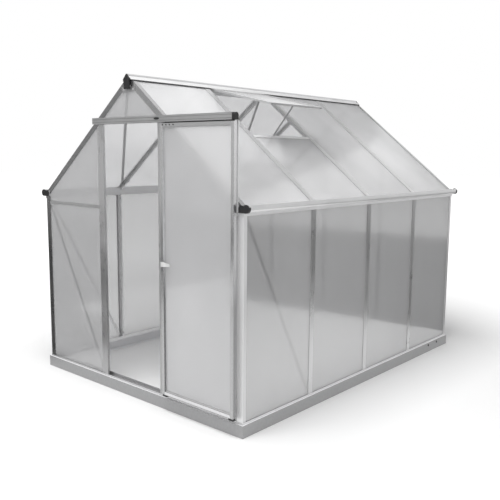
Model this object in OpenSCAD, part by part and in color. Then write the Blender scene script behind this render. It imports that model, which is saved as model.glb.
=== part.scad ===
// Small greenhouse: base channel, glazing bars, clear sheets, sliding door, roof vent propped open.
// Millimetres, Z up. Origin on the ground under the middle of the base, front gable towards -Y.

/* [Base] */
// Width of the base across the side walls
base_width = 1840; // [1720:10:1980]
// Length of the base from front to rear
base_length = 2450; // [2230:10:2730]
// Height of the folded base channel
base_height = 70; // [50:1:100]
// Depth of the base channel flanges
base_flange = 46; // [45:1:60]
// Ledge of the base that shows outside the sill
base_overhang = 10; // [0:1:12]
// Thickness of the base sheet
base_sheet = 2; // [1.5:0.1:3]
// Thickness of the sill rail
sill_sheet = 2; // [1.5:0.1:2]
// Height of the outer lip of the sill rail
sill_lip = 8; // [8:1:20]
// Height of the inner lip of the sill rail
sill_back = 20; // [10:1:30]

/* [Glazing bars] */
// Bays along each side
side_bays = 4; // [3:1:5]
// Width of the outer flange of a stud or rafter
bar_width = 40; // [34:1:48]
// Width of the inner flange of a stud or rafter
bar_inner = 26; // [20:1:30]
// Depth of a stud or rafter
bar_depth = 28; // [22:1:28]
// Width of the foot of a stud or rafter
bar_foot = 12; // [8:1:18]
// Step of the inner wall of a groove behind its outer wall
groove_step = 6; // [3:1:8]
// Thickness of the bar walls
bar_wall = 2; // [1.6:0.1:2.4]
// Width of a corner post on the gable
post_gable = 42; // [40:1:60]
// Width of a corner post on the side wall
post_side = 26; // [24:1:46]
// Width of the tube in a corner post
post_core = 16; // [14:1:20]
// Width of a gable rafter on the gable
verge_gable = 35; // [32:1:44]
// Width of a gable rafter on the roof
verge_roof = 30; // [28:1:40]
// Width of the tube in a gable rafter
verge_core = 14; // [13:1:18]
// Height of the thin gable bar
gable_bar = 18; // [14:1:26]
// Drop of the thin gable bar below the gutter
gable_bar_drop = 42; // [25:1:120]

/* [Sheets] */
// Thickness of the clear sheets
sheet = 4; // [3:0.5:6]
// Play at the edges of a sheet
sheet_play = 1; // [0.5:0.1:2]

/* [Roof] */
// Distance of the roof ends from the side wall
eave_step = 6; // [3:1:12]
// Height of the roof surface over the side wall
eave_height = 1226; // [1150:1:1300]
// Rise of the roof from the side wall to the ridge
roof_rise = 716; // [640:1:780]
// Top of the ridge bead above the meeting of the slopes
ridge_bead = 8; // [6:0.5:14]
// Width of the ridge bead
ridge_bead_width = 12; // [8:1:20]
// Reach of the ridge wings along the slope
ridge_wing = 42; // [34:1:60]
// Depth of the ridge web
ridge_web = 62; // [56:1:80]
// Width of the ridge foot
ridge_foot = 20; // [10:1:30]
// Run of the ridge bar beyond the gables
ridge_run = 8; // [8:1:18]
// Thickness of the ridge end caps
ridge_cap = 9; // [5:1:12]
// Half width of a ridge end cap
ridge_cap_half = 30; // [30:1:44]
// Half width of a ridge end cap below its shoulders
ridge_cap_neck = 24; // [15:1:29]
// Height of the point of a ridge end cap
ridge_cap_point = 32; // [24:1:38]
// Height of the step under the shoulders of a ridge end cap
ridge_cap_step = 7; // [4:1:12]
// Height of a ridge end cap
ridge_cap_height = 86; // [76:1:96]
// Width of a gusset plate
gusset_width = 120; // [90:1:124]
// Height of a gusset plate
gusset_height = 30; // [20:1:40]
// Bevel of the lower corners of a gusset plate
gusset_bevel = 12; // [4:1:18]

/* [Gutter] */
// Reach of the gutter beyond the side wall
gutter_reach = 40; // [34:1:60]
// Depth of the gutter inside the side wall
gutter_inner = 36; // [33:1:46]
// Drop of the gutter floor below the roof surface
gutter_drop = 24; // [24:1:50]
// Radius of the outer lower edge of the gutter
gutter_round = 20; // [10:1:24]
// Thickness of the gutter
gutter_sheet = 2; // [1.5:0.1:2.5]
// Width of the return along the gutter edge
gutter_return = 6; // [4:1:10]
// Height of the lips over the wall sheets
gutter_lip = 18; // [6:1:18]
// Run of the gutter beyond the gables
gutter_run = 4; // [2:0.5:6]
// Thickness of the gutter end caps
gutter_cap = 6; // [6:0.5:10]
// Drop of the top of a gutter end cap below the gutter edge
gutter_cap_drop = 12; // [0:1:12]
// Length of the skirt of a gutter end cap
gutter_cap_skirt = 10; // [10:1:40]
// Width of the nib on a gutter end cap
gutter_nib = 22; // [10:1:30]
// Rise of the nib on a gutter end cap
gutter_nib_rise = 9; // [2:1:12]

/* [Doorway] */
// Distance of a door jamb from the middle
jamb_offset = 283; // [260:1:320]
// Width of a door jamb
jamb_width = 58; // [50:1:66]
// Width of the raised band on a door jamb
jamb_band = 24; // [16:1:28]
// Height of the raised band on a door jamb
jamb_rise = 3; // [1:0.5:4]
// Depth of the return along the doorway edge of a jamb
jamb_return = 12; // [12:1:26]
// Drop of the track rail below the roof surface over a jamb
track_drop = 52; // [48:1:70]
// Height of the track rail
track_height = 37; // [34:1:44]
// Half width inside the track
track_half = 13.5; // [13:0.5:16]
// Half width of the slot under the track
track_slot = 5.5; // [4.5:0.5:6.5]
// Thickness of the track rail
track_wall = 2; // [1.5:0.1:2.5]
// Run of the track beyond the middle on the left
track_left = 300; // [280:1:320]
// Length of the end cap of the track
track_cap = 18; // [16:1:40]
// Run of the end cap of the track before the upright
cap_start = 4; // [4:1:20]
// Width of the upright under the end of the track
upright_width = 12; // [8:1:20]
// Thickness of the upright under the end of the track
upright_sheet = 3; // [2:0.1:3]
// Distance of the upright from the outer face of the side wall
upright_inset = 30; // [4:1:34]
// Overlap of the upright with the gutter end cap
upright_lap = 40; // [20:1:45]

/* [Sliding door] */
// Width of the door
door_width = 560; // [545:1:600]
// Gap between the doorway edge of the jamb band and the open door
door_open_gap = 1; // [0:1:30]
// Clearance between the door and the track rail above
door_top_gap = 6; // [6:1:20]
// Clearance between the door and the sill lip below
door_foot_gap = 26; // [22:1:40]
// Thickness of the door frame
door_depth = 20; // [16:1:20]
// Width of the stile tube
stile_tube = 20; // [20:1:36]
// Height of the rail tube
rail_tube = 18; // [16:1:60]
// Depth of the sheet groove in the door frame
door_groove = 6; // [6:1:12]
// Height of the handle above the bottom of the door
handle_height = 756; // [500:1:1000]
// Distance of the handle from the edge of the door
handle_inset = 7; // [0:1:9]
// Width of the handle
handle_width = 68; // [40:1:80]
// Length of the handle at its grip
handle_length = 27; // [20:1:40]
// Length of the handle at its tip
handle_tip = 13; // [8:1:19]
// Thickness of the handle plate
handle_plate = 4; // [2:0.5:5]
// Width of the handle grip
handle_grip = 10; // [6:1:16]
// Reach of the handle
handle_reach = 8; // [6:0.5:9]
// Radius of the rollers
roller_radius = 10; // [8:0.5:11]
// Width of a roller
roller_width = 6; // [4:0.5:6]
// Radius of the roller axles
axle_radius = 3; // [2:0.5:4]
// Run of a roller beyond the slot of the track
roller_gap = 1; // [0.5:0.1:1.4]
// Width of a hanger plate
hanger_width = 30; // [24:1:50]
// Distance of a hanger from the door edge
hanger_inset = 50; // [30:1:120]
// Thickness of a hanger plate
hanger_sheet = 4; // [3:0.5:5]
// Height of the guides under the door
guide_height = 12; // [8:1:15]
// Length of the guides under the door
guide_length = 34; // [26:1:60]

/* [Roof vent] */
// Distance of the vent sill bar from the ridge along the slope
vent_sill = 530; // [480:1:640]
// Length of the vent leaf
vent_length = 520; // [460:1:600]
// Opening angle of the vent leaf
vent_open = 26; // [15:1:32]
// Gap between the vent leaf and the rafter flanges
vent_gap = 18; // [5:1:20]
// Width of the vent rails
vent_rail = 22; // [18:1:30]
// Depth of the vent rails
vent_depth = 12; // [11:0.5:16]
// Radius of the hinge bead
hinge_bead = 3; // [2:0.5:4]
// Width of the vent stay
stay_width = 14; // [10:1:20]
// Thickness of the vent stay
stay_sheet = 3; // [2:0.5:4]
// Length of the vent stay
stay_length = 370; // [300:1:380]
// Sideways swing of the vent stay
stay_swing = 10; // [0:1:25]
// Distance of the stay in front of the middle of the vent
stay_shift = 38; // [0:1:60]
// Diameter of the holes in the stay
stay_hole = 6; // [3:0.5:7]
// Distance between the holes in the stay
stay_pitch = 40; // [20:1:60]

/* [Braces] */
// Width of the flat braces
brace_width = 18; // [12:1:24]
// Thickness of the flat braces
brace_sheet = 2; // [1:0.5:3]
// Distance of a brace end from the middle of the bar it meets
brace_inset = 14; // [13.5:0.5:20]

/* [Fits] */
// Play between pieces that sit on each other
fit = 0.3; // [0.2:0.05:0.4]

/* [Hidden] */
$fn = 48;
slot = sheet + 2 * fit;
core = 2 * bar_wall + slot;
sheet_in = bar_wall + fit;
sill_width = base_width - 2 * base_overhang;
sill_length = base_length - 2 * base_overhang;
wall_x = sill_width / 2 - sill_sheet - fit;
wall_y = sill_length / 2 - sill_sheet - fit;
sill_depth = 2 * sill_sheet + 2 * fit + bar_depth;
sill_floor = base_height + sill_sheet;
stand_z = sill_floor + fit;
pitch = atan(roof_rise / wall_x);
apex_z = eave_height + roof_rise;
bay = 2 * wall_y / side_bays;
gutter_z = eave_height - gutter_drop;
wall_top = gutter_z - fit;
gutter_x = wall_x - gutter_inner;
gutter_height = roof_z(gutter_x + gutter_sheet) - core / cos(pitch) - fit - gutter_z;
gutter_half = wall_y + gutter_run;
ridge_half = wall_y + ridge_run;
rafter_end = wall_x - eave_step;
slope_length = wall_x / cos(pitch);
bar_z = gutter_z - gable_bar_drop;
inner_edge = verge_gable / cos(pitch);
track_out = gutter_run + gutter_cap + upright_sheet + 3 * fit + track_half + track_wall;
track_y = -(wall_y + track_out);
track_top = roof_z(jamb_offset) - track_drop + track_height;
track_bottom = track_top - track_height;
lintel_z = track_bottom + gable_bar / 2;
door_left = jamb_offset + jamb_width / 2 + door_open_gap;
door_right = door_left + door_width;
door_top = track_bottom - door_top_gap;
door_bottom = base_height + sill_lip + door_foot_gap;
door_height = door_top - door_bottom;
door_back = track_y + door_depth / 2;
upright_back = -(gutter_half + fit + gutter_cap + fit);
track_right = max(wall_x - upright_inset - upright_width - cap_start, door_right - hanger_inset + hanger_width);
vent_y = -wall_y + 1.5 * bay;
vent_width = bay - bar_width - 2 * vent_gap;
leaf_tilt = pitch - vent_open;
hinge_s = ridge_wing + fit + hinge_bead;
hinge_n = fit + hinge_bead / 2;
hinge_x = hinge_s * cos(pitch) + hinge_n * sin(pitch);
hinge_z = apex_z - hinge_s * sin(pitch) + hinge_n * cos(pitch);

// Height of the roof surface at a distance from the middle
function roof_z(x) = apex_z - x * tan(pitch);

// Place of a bar along the side wall
function bay_y(i) = -wall_y + i * bay;

// Draws its children and their mirror image across the middle
module both_sides() {
    children();
    mirror([1, 0, 0]) children();
}

// Draws its children and their mirror image from front to rear
module both_ends() {
    children();
    mirror([0, 1, 0]) children();
}

// Wall frame: X along the wall, Y inward from its outer face
module gable_wall() {
    translate([0, -wall_y, 0]) children();
}

module right_wall() {
    rotate([0, 0, 90]) translate([0, -wall_x, 0]) children();
}

// Roof frame: X down the slope, Y as it is, Z out of the roof surface
module right_slope() {
    translate([0, 0, apex_z]) rotate([0, pitch, 0]) children();
}

// Profile drawn as (inward, up), run along X
module run_x(length) {
    translate([-length / 2, 0, 0]) rotate([90, 0, 90]) linear_extrude(length) children();
}

// Profile drawn as (across, inward), run down the slope
module run_slope(length) {
    translate([length, 0, 0]) rotate([-90, 0, 90]) linear_extrude(length) children();
}

// Rail with both ends cut at half a right angle
module mitred_run(length, depth) {
    half = length / 2 - fit / 2;
    intersection() {
        run_x(length) children();
        translate([0, 0, -1]) linear_extrude(base_height + sill_sheet + sill_lip + sill_back)
            polygon([[-half, 0], [half, 0], [half - depth, depth], [depth - half, depth]]);
    }
}

// Keeps what lies between two distances from the middle on the right
module between_x(low, high) {
    intersection() {
        children();
        translate([low, -base_length, 0]) cube([high - low, 2 * base_length, 2 * apex_z]);
    }
}

// Keeps what lies deeper than a depth below the roof on the right
module below_roof(depth) {
    difference() {
        children();
        right_slope() translate([-base_width, -base_length, -depth])
            cube([3 * base_width, 2 * base_length, apex_z]);
    }
}

// Glazing bar profile: outer flange, two grooves, web and foot
module bar_section() {
    translate([-bar_width / 2, 0]) square([bar_width, bar_wall]);
    translate([-bar_wall / 2, 0]) square([bar_wall, bar_depth]);
    translate([-bar_inner / 2, core - bar_wall]) square([bar_inner, bar_wall]);
    translate([-bar_foot / 2, bar_depth - bar_wall]) square([bar_foot, bar_wall]);
}

// Outer part of the glazing bar profile
module bar_head() {
    translate([-bar_width / 2, 0]) square([bar_width, bar_wall]);
    translate([-bar_wall / 2, 0]) square([bar_wall, core]);
    translate([-bar_inner / 2, core - bar_wall]) square([bar_inner, bar_wall]);
}

// Corner profile: two flanges, square tube and one groove on each side
module corner_section(first, second, tube) {
    difference() {
        union() {
            square([first, bar_wall]);
            square([bar_wall, second]);
            square([tube, tube]);
            translate([0, core - bar_wall]) square([first - groove_step, bar_wall]);
            translate([core - bar_wall, 0]) square([bar_wall, second - groove_step]);
        }
        translate([bar_wall, bar_wall]) square([tube - 2 * bar_wall, tube - 2 * bar_wall]);
    }
}

// Outer part of the gable rafter profile
module verge_head() {
    difference() {
        square([verge_core, core]);
        translate([bar_wall, bar_wall]) square([verge_core - 2 * bar_wall, slot]);
    }
    square([verge_roof, bar_wall]);
    translate([0, core - bar_wall]) square([verge_roof - groove_step, bar_wall]);
}

// Flat bar with round ends between two points
module flat_bar(from, to) {
    run = to - from;
    translate(from) rotate(atan2(run[1], run[0])) union() {
        translate([0, -brace_width / 2]) square([norm(run), brace_width]);
        circle(d = brace_width);
        translate([norm(run), 0]) circle(d = brace_width);
    }
}

module base_section() {
    square([base_sheet, base_height]);
    square([base_flange, base_sheet]);
    translate([0, base_height - base_sheet]) square([base_flange, base_sheet]);
}

module sill_section() {
    translate([0, base_height]) square([sill_depth, sill_sheet]);
    translate([0, base_height]) square([sill_sheet, sill_sheet + sill_lip]);
    translate([sill_depth - sill_sheet, base_height]) square([sill_sheet, sill_sheet + sill_back]);
}

module base_ends() {
    color("Silver") both_ends() translate([0, -base_length / 2, 0])
        mitred_run(base_width, base_flange) base_section();
}

module base_sides() {
    color("Silver") both_sides() rotate([0, 0, 90]) translate([0, -base_width / 2, 0])
        mitred_run(base_length, base_flange) base_section();
}

module sill_ends() {
    color("LightGray") both_ends() translate([0, -sill_length / 2, 0])
        mitred_run(sill_width, sill_depth) sill_section();
}

module sill_sides() {
    color("LightGray") both_sides() rotate([0, 0, 90]) translate([0, -sill_width / 2, 0])
        mitred_run(sill_length, sill_depth) sill_section();
}

module corner_posts() {
    color("DarkGray") both_ends() both_sides() translate([-wall_x, -wall_y, stand_z])
        linear_extrude(wall_top - stand_z) corner_section(post_gable, post_side, post_core);
}

module side_studs() {
    right_wall() for (i = [1 : side_bays - 1])
        translate([bay_y(i), 0, stand_z]) linear_extrude(wall_top - stand_z) bar_section();
}

module left_wall_studs() {
    color("DarkGray") mirror([1, 0, 0]) side_studs();
}

module right_wall_studs() {
    color("DarkGray") side_studs();
}

// Jamb profile on the right: doorway edge towards -X
module jamb_section() {
    edge = -jamb_width / 2;
    translate([edge, 0]) square([jamb_width, bar_wall]);
    translate([edge, 0]) square([bar_wall, jamb_return]);
    translate([-bar_wall / 2, 0]) square([bar_wall, bar_depth]);
    translate([-bar_wall / 2, core - bar_wall]) square([bar_inner / 2 + bar_wall, bar_wall]);
    translate([-bar_foot / 2, bar_depth - bar_wall]) square([bar_foot, bar_wall]);
}

// Raised band along the doorway edge of a jamb
module jamb_band_section() {
    translate([-jamb_width / 2, -jamb_rise]) square([jamb_band, jamb_rise + bar_wall]);
}

module door_jambs() {
    band_z = sill_floor + sill_lip + fit;
    color("DarkGray") both_sides() below_roof(verge_gable + fit) gable_wall() {
        translate([jamb_offset, 0, stand_z]) linear_extrude(apex_z - stand_z) jamb_section();
        translate([jamb_offset, 0, band_z]) linear_extrude(apex_z - band_z) jamb_band_section();
    }
}

module rear_wall_studs() {
    color("DarkGray") mirror([0, 1, 0]) both_sides() below_roof(verge_gable + fit) gable_wall()
        translate([jamb_offset, 0, stand_z]) linear_extrude(apex_z - stand_z) bar_section();
}

// Gutter outline with a round outer lower edge, drawn as (outward, up)
module trough(inset, height) {
    translate([inset - gutter_inner, inset])
        square([gutter_inner + gutter_reach - gutter_round - inset, height - inset]);
    translate([gutter_reach - gutter_round, gutter_round]) circle(gutter_round - inset);
    translate([inset - gutter_inner, gutter_round])
        square([gutter_inner + gutter_reach - 2 * inset, height - gutter_round]);
}

// Profile drawn as (outward, up) at the right eave, run along the gutter
module run_eave(length) {
    translate([wall_x, length / 2, gutter_z]) rotate([90, 0, 0]) linear_extrude(length) children();
}

module gutter() {
    run_eave(2 * gutter_half) {
        difference() {
            trough(0, gutter_height);
            trough(gutter_sheet, 2 * gutter_height);
        }
        translate([gutter_reach - gutter_return, gutter_height - gutter_sheet])
            square([gutter_return, gutter_sheet]);
        translate([fit, -gutter_lip]) square([gutter_sheet, gutter_lip + gutter_sheet]);
    }
    run_eave(2 * (wall_y - post_side - fit))
        translate([-bar_depth - fit - gutter_sheet, -gutter_lip])
        square([gutter_sheet, gutter_lip + gutter_sheet]);
}

module gutters() {
    color("LightGray") both_sides() gutter();
}

module gutter_end_caps() {
    plate_start = gutter_half + fit;
    cap_height = gutter_height - gutter_cap_drop;
    color("DimGray") both_ends() both_sides() {
        translate([wall_x, -plate_start, gutter_z]) rotate([90, 0, 0]) linear_extrude(gutter_cap) {
            trough(-fit - gutter_sheet, cap_height);
            translate([-gutter_inner + gutter_nib / 2, cap_height - gutter_sheet])
                square([gutter_nib, gutter_sheet + gutter_nib_rise]);
        }
        translate([wall_x, -plate_start + gutter_cap_skirt, gutter_z]) rotate([90, 0, 0])
            linear_extrude(gutter_cap_skirt + gutter_cap / 2) intersection() {
                difference() {
                    trough(-fit - gutter_sheet, cap_height);
                    trough(-fit, 2 * gutter_height);
                }
                translate([2 * gutter_sheet + 2 * fit, -gutter_lip])
                    square([2 * gutter_reach, gutter_height + gutter_lip]);
            }
    }
}

// Profile drawn as (across, up), run along Y
module run_y(length) {
    translate([0, length / 2, 0]) rotate([90, 0, 0]) linear_extrude(length) children();
}

module wing_section() {
    translate([0, apex_z]) rotate(-pitch) translate([0, fit]) square([ridge_wing, bar_wall]);
}

module ridge_bar() {
    color("LightGray") run_y(2 * ridge_half) {
        translate([-bar_wall / 2, apex_z - ridge_web]) square([bar_wall, ridge_web + ridge_bead]);
        translate([-ridge_foot / 2, apex_z - ridge_web - bar_wall]) square([ridge_foot, bar_wall]);
        translate([-ridge_bead_width / 2, apex_z]) square([ridge_bead_width, ridge_bead]);
        wing_section();
        mirror([1, 0]) wing_section();
    }
}

module ridge_end_caps() {
    top = apex_z + ridge_bead;
    foot = top - ridge_cap_height;
    shoulder = top - ridge_cap_point;
    half = ridge_cap_half;
    neck = ridge_cap_neck;
    color("DimGray") both_ends() translate([0, -ridge_half - fit, 0]) rotate([90, 0, 0])
        linear_extrude(ridge_cap) polygon([[0, top], [half, shoulder], [neck, shoulder - ridge_cap_step],
            [neck, foot], [-neck, foot], [-neck, shoulder - ridge_cap_step], [-half, shoulder]]);
}

module gable_rafter() {
    between_x(bar_wall, gutter_x - fit) right_slope() translate([0, -wall_y, 0])
        run_slope(slope_length) corner_section(verge_roof, verge_gable, verge_core);
    between_x(bar_wall, rafter_end) right_slope() translate([0, -wall_y, 0])
        run_slope(slope_length) verge_head();
}

module left_gable_rafters() {
    color("DarkGray") both_ends() mirror([1, 0, 0]) union() gable_rafter();
}

module right_gable_rafters() {
    color("DarkGray") both_ends() union() gable_rafter();
}

module roof_rafter(i) {
    between_x(bar_wall, gutter_x - fit) right_slope() translate([0, bay_y(i), 0])
        run_slope(slope_length) bar_section();
    between_x(bar_wall, rafter_end) right_slope() translate([0, bay_y(i), 0])
        run_slope(slope_length) bar_head();
}

module left_roof_rafters() {
    color("DarkGray") mirror([1, 0, 0]) for (i = [1 : side_bays - 1]) roof_rafter(i);
}

module right_roof_rafters() {
    color("DarkGray") for (i = [1 : side_bays - 1]) roof_rafter(i);
}

// Thin bar profile with a groove above and below, drawn as (inward, up)
module gable_bar_section() {
    translate([0, -gable_bar / 2]) square([bar_wall, gable_bar]);
    translate([0, -bar_wall / 2]) square([core, bar_wall]);
    translate([core - bar_wall, -gable_bar / 2]) square([bar_wall, gable_bar]);
}

module gable_bar_between(low, high, z) {
    gable_wall() translate([(low + high) / 2, 0, z]) run_x(high - low) gable_bar_section();
}

module front_gable_bars() {
    jamb_edge = jamb_offset + jamb_width / 2 + fit;
    inner = jamb_offset - jamb_width / 2 - fit;
    color("DarkGray") {
        both_sides() gable_bar_between(jamb_edge, wall_x - post_gable - fit, bar_z);
        gable_bar_between(-inner, inner, lintel_z);
    }
}

module rear_gable_bars() {
    stud_edge = jamb_offset + bar_width / 2 + fit;
    inner = jamb_offset - bar_width / 2 - fit;
    color("DarkGray") mirror([0, 1, 0]) {
        both_sides() gable_bar_between(stud_edge, wall_x - post_gable - fit, bar_z);
        gable_bar_between(-inner, inner, bar_z);
    }
}

module gable_gussets() {
    top = apex_z - ridge_web - bar_wall - fit;
    foot = top - gusset_height;
    half = gusset_width / 2;
    step = gusset_bevel;
    color("Gray") both_ends() translate([0, -wall_y - fit, 0]) rotate([90, 0, 0]) linear_extrude(bar_wall)
        polygon([[step - half, foot], [half - step, foot], [half, foot + step], [half, top], [-half, top],
            [-half, foot + step]]);
}

// Track rail profile drawn as (Y, Z): two webs, lips for the rollers and a flange back to the jambs
module track_section() {
    half = track_half + track_wall;
    lip = track_half - track_slot + track_wall;
    translate([track_y - half, track_bottom]) square([track_wall, track_height]);
    translate([track_y + track_half, track_bottom]) square([track_wall, track_height]);
    translate([track_y - half, track_bottom]) square([lip, track_wall]);
    translate([track_y + track_slot, track_bottom]) square([lip, track_wall]);
    translate([track_y - half, track_top - track_wall])
        square([track_out + half - jamb_rise - fit, track_wall]);
}

module door_header_rail() {
    color("LightGray") translate([-track_left, 0, 0]) rotate([90, 0, 90])
        linear_extrude(track_right + track_left) track_section();
}

module header_end_cap() {
    half = track_half + track_wall;
    color("DimGray") translate([track_right + fit, track_y, track_bottom]) rotate([90, 0, 90])
        linear_extrude(track_cap) {
            translate([-half, 0]) square([2 * half, track_height - half]);
            translate([0, track_height - half]) circle(half);
        }
}

module header_support() {
    foot = gutter_z + gutter_height - upright_lap;
    color("Silver") translate([wall_x - upright_inset - upright_width, upright_back - upright_sheet, foot])
        cube([upright_width, upright_sheet, track_top - track_wall - fit - foot]);
}

// Flat brace behind the bars of a wall, between two points drawn as (along, up)
module wall_brace(from, to) {
    translate([0, core + fit + brace_sheet, 0]) rotate([90, 0, 0]) linear_extrude(brace_sheet)
        flat_bar(from, to);
}

module side_wall_braces() {
    top = wall_top - gutter_lip - brace_inset;
    color("Gray") both_sides() right_wall()
        wall_brace([bay_y(0) + post_core + brace_inset, top], [bay_y(1) - brace_inset, stand_z + brace_inset]);
}

module front_wall_braces() {
    color("Gray") mirror([1, 0, 0]) gable_wall()
        wall_brace([wall_x - post_core - 2 * brace_inset, bar_z - 2 * brace_inset],
            [jamb_offset + brace_inset, stand_z + brace_inset]);
}

// Flat brace under the rafters of the right slope, between two points drawn as (down the slope, along)
module slope_brace(from, to) {
    right_slope() translate([0, 0, -core - fit - brace_sheet]) linear_extrude(brace_sheet)
        flat_bar(from, to);
}

module roof_braces() {
    high = ridge_web;
    low = (gutter_x - 2 * brace_inset) / cos(pitch);
    color("Gray") {
        mirror([1, 0, 0]) {
            slope_brace([high, bay_y(0) + verge_core + brace_inset], [low, bay_y(1) - brace_inset]);
            slope_brace([high, bay_y(2) + brace_inset], [low, bay_y(3) - brace_inset - verge_core]);
        }
        slope_brace([high, bay_y(3) - brace_inset - verge_core], [low, bay_y(2) + brace_inset]);
    }
}

// Edges of a sheet in a bay, clear of the post or web on each side
function edge_low(i, tube) = bay_y(i) + (i == 0 ? tube : bar_wall / 2) + sheet_play;
function edge_high(i, tube) = bay_y(i) - (i == side_bays ? tube : bar_wall / 2) - sheet_play;

module side_panels() {
    right_wall() for (i = [0 : side_bays - 1]) {
        low = edge_low(i, post_core);
        translate([low, sheet_in, stand_z])
            cube([edge_high(i + 1, post_core) - low, sheet, wall_top - stand_z]);
    }
}

module left_wall_panels() {
    color("GhostWhite", 0.5) mirror([1, 0, 0]) side_panels();
}

module right_wall_panels() {
    color("GhostWhite", 0.5) side_panels();
}

// Sheet in a gable wall from an outline drawn as (along, up)
module gable_sheet(points) {
    gable_wall() translate([0, sheet_in + sheet, 0]) rotate([90, 0, 0]) linear_extrude(sheet) polygon(points);
}

// Sheets beside the doorway or the rear studs on the right
module flank_sheets() {
    near = jamb_offset + bar_wall / 2 + sheet_play;
    far = wall_x - post_core - sheet_play;
    top_far = gutter_x - sheet_play;
    low_z = bar_z - bar_wall / 2 - sheet_play;
    high_z = bar_z + bar_wall / 2 + sheet_play;
    depth = (verge_core + sheet_play) / cos(pitch);
    gable_sheet([[near, stand_z], [far, stand_z], [far, low_z], [near, low_z]]);
    gable_sheet([[near, high_z], [top_far, high_z], [top_far, roof_z(top_far) - depth],
        [near, roof_z(near) - depth]]);
}

// Sheet in the middle of a gable above a bar
module apex_sheet(z) {
    half = jamb_offset - bar_wall / 2 - sheet_play;
    low_z = z + bar_wall / 2 + sheet_play;
    depth = (verge_core + sheet_play) / cos(pitch);
    top = apex_z - ridge_web - bar_wall - sheet_play;
    top_half = (apex_z - depth - top) / tan(pitch);
    gable_sheet([[-half, low_z], [half, low_z], [half, roof_z(half) - depth], [top_half, top],
        [-top_half, top], [-half, roof_z(half) - depth]]);
}

module front_wall_panels() {
    color("GhostWhite", 0.5) {
        both_sides() flank_sheets();
        intersection() {
            apex_sheet(lintel_z);
            translate([jamb_width / 2 - jamb_offset, -base_length, 0])
                cube([2 * jamb_offset - jamb_width, base_length, apex_z]);
        }
    }
}

module rear_wall_panels() {
    half = jamb_offset - bar_wall / 2 - sheet_play;
    low_z = bar_z - bar_wall / 2 - sheet_play;
    color("GhostWhite", 0.5) mirror([0, 1, 0]) {
        both_sides() flank_sheets();
        apex_sheet(bar_z);
        gable_sheet([[-half, stand_z], [half, stand_z], [half, low_z], [-half, low_z]]);
    }
}

// Roof sheet in a bay of the right slope from a distance below the ridge
module roof_sheet(i, start) {
    low = edge_low(i, verge_core);
    right_slope() translate([start, low, -sheet_in - sheet])
        cube([slope_length - start - eave_step, edge_high(i + 1, verge_core) - low, sheet]);
}

module left_roof_panels() {
    color("GhostWhite", 0.5) mirror([1, 0, 0]) for (i = [0 : side_bays - 1]) roof_sheet(i, 4 * bar_wall);
}

module right_roof_panels() {
    color("GhostWhite", 0.5) for (i = [0 : side_bays - 1])
        roof_sheet(i, i == 1 ? vent_sill + bar_wall + sheet_play : 4 * bar_wall);
}

module vent_sill_bar() {
    span = bay - bar_width - 2 * fit;
    color("DarkGray") right_slope() translate([vent_sill, vent_y - span / 2, 0]) {
        translate([0, 0, -bar_wall]) cube([vent_rail, span, bar_wall]);
        translate([0, 0, -bar_depth]) cube([bar_wall, span, bar_depth]);
        translate([0, 0, -core]) cube([vent_rail, span, bar_wall]);
    }
}

// Vent frame of reference: hinge at the origin, X down the leaf, Z out of it
module on_vent() {
    translate([hinge_x, vent_y, hinge_z]) rotate([0, leaf_tilt, 0]) children();
}

// Vent rail profile drawn as (inward, up) with its outer face at zero
module vent_section() {
    translate([0, -bar_wall]) square([vent_rail, bar_wall]);
    translate([0, -vent_depth]) square([bar_wall, vent_depth]);
    translate([0, -core]) square([vent_rail - groove_step, bar_wall]);
}

module vent_frame() {
    across = vent_width - 2 * vent_rail - 2 * fit;
    color("DarkGray") on_vent() {
        for (side = [0, 1]) mirror([0, side, 0]) translate([vent_length / 2, -vent_width / 2, 0])
            run_x(vent_length) vent_section();
        rotate([0, 0, -90]) run_x(across) vent_section();
        rotate([90, 0, 0]) translate([0, -hinge_bead / 2, -across / 2]) cylinder(across, r = hinge_bead);
        translate([vent_length, 0, 0]) rotate([0, 0, 90]) run_x(across) vent_section();
    }
}

module vent_panel() {
    edge = bar_wall + sheet_play;
    color("GhostWhite", 0.5) on_vent() translate([edge, edge - vent_width / 2, -sheet_in - sheet])
        cube([vent_length - 2 * edge, vent_width - 2 * edge, sheet]);
}

// Stay that hangs from the lower vent rail and lies against the vent sill bar
module vent_stay() {
    top_l = vent_length - vent_rail / 2;
    top_n = -core - fit - stay_width / 2;
    top_x = hinge_x + top_l * cos(leaf_tilt) + top_n * sin(leaf_tilt);
    top_z = hinge_z - top_l * sin(leaf_tilt) + top_n * cos(leaf_tilt);
    rest_s = vent_sill - fit - stay_sheet / 2;
    rest_x = rest_s * cos(pitch) - bar_depth * sin(pitch);
    rest_z = apex_z - rest_s * sin(pitch) - bar_depth * cos(pitch);
    lean = atan2(top_x - rest_x, top_z - rest_z);
    color("Silver") translate([top_x, vent_y - stay_shift, top_z]) rotate([0, lean, 0]) rotate([-stay_swing, 0, 0])
        difference() {
            union() {
                translate([-stay_sheet / 2, -stay_width / 2, -stay_length])
                    cube([stay_sheet, stay_width, stay_length]);
                rotate([0, 90, 0]) cylinder(stay_sheet, d = stay_width, center = true);
            }
            for (k = [1 : 6]) translate([0, 0, -stay_length + k * stay_pitch]) rotate([0, 90, 0])
                cylinder(2 * stay_sheet, d = stay_hole, center = true);
        }
}

// Hollow rail with a sheet groove, drawn as (inward, thickness from the back)
module door_tube(tube) {
    difference() {
        square([tube, door_depth]);
        translate([bar_wall, bar_wall]) square([tube - 2 * bar_wall, door_depth - 2 * bar_wall]);
    }
}

module door_fins(tube) {
    middle = door_depth / 2;
    translate([tube - bar_wall, middle - slot / 2 - bar_wall]) square([door_groove + bar_wall, bar_wall]);
    translate([tube - bar_wall, middle + slot / 2]) square([door_groove + bar_wall, bar_wall]);
}

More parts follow.
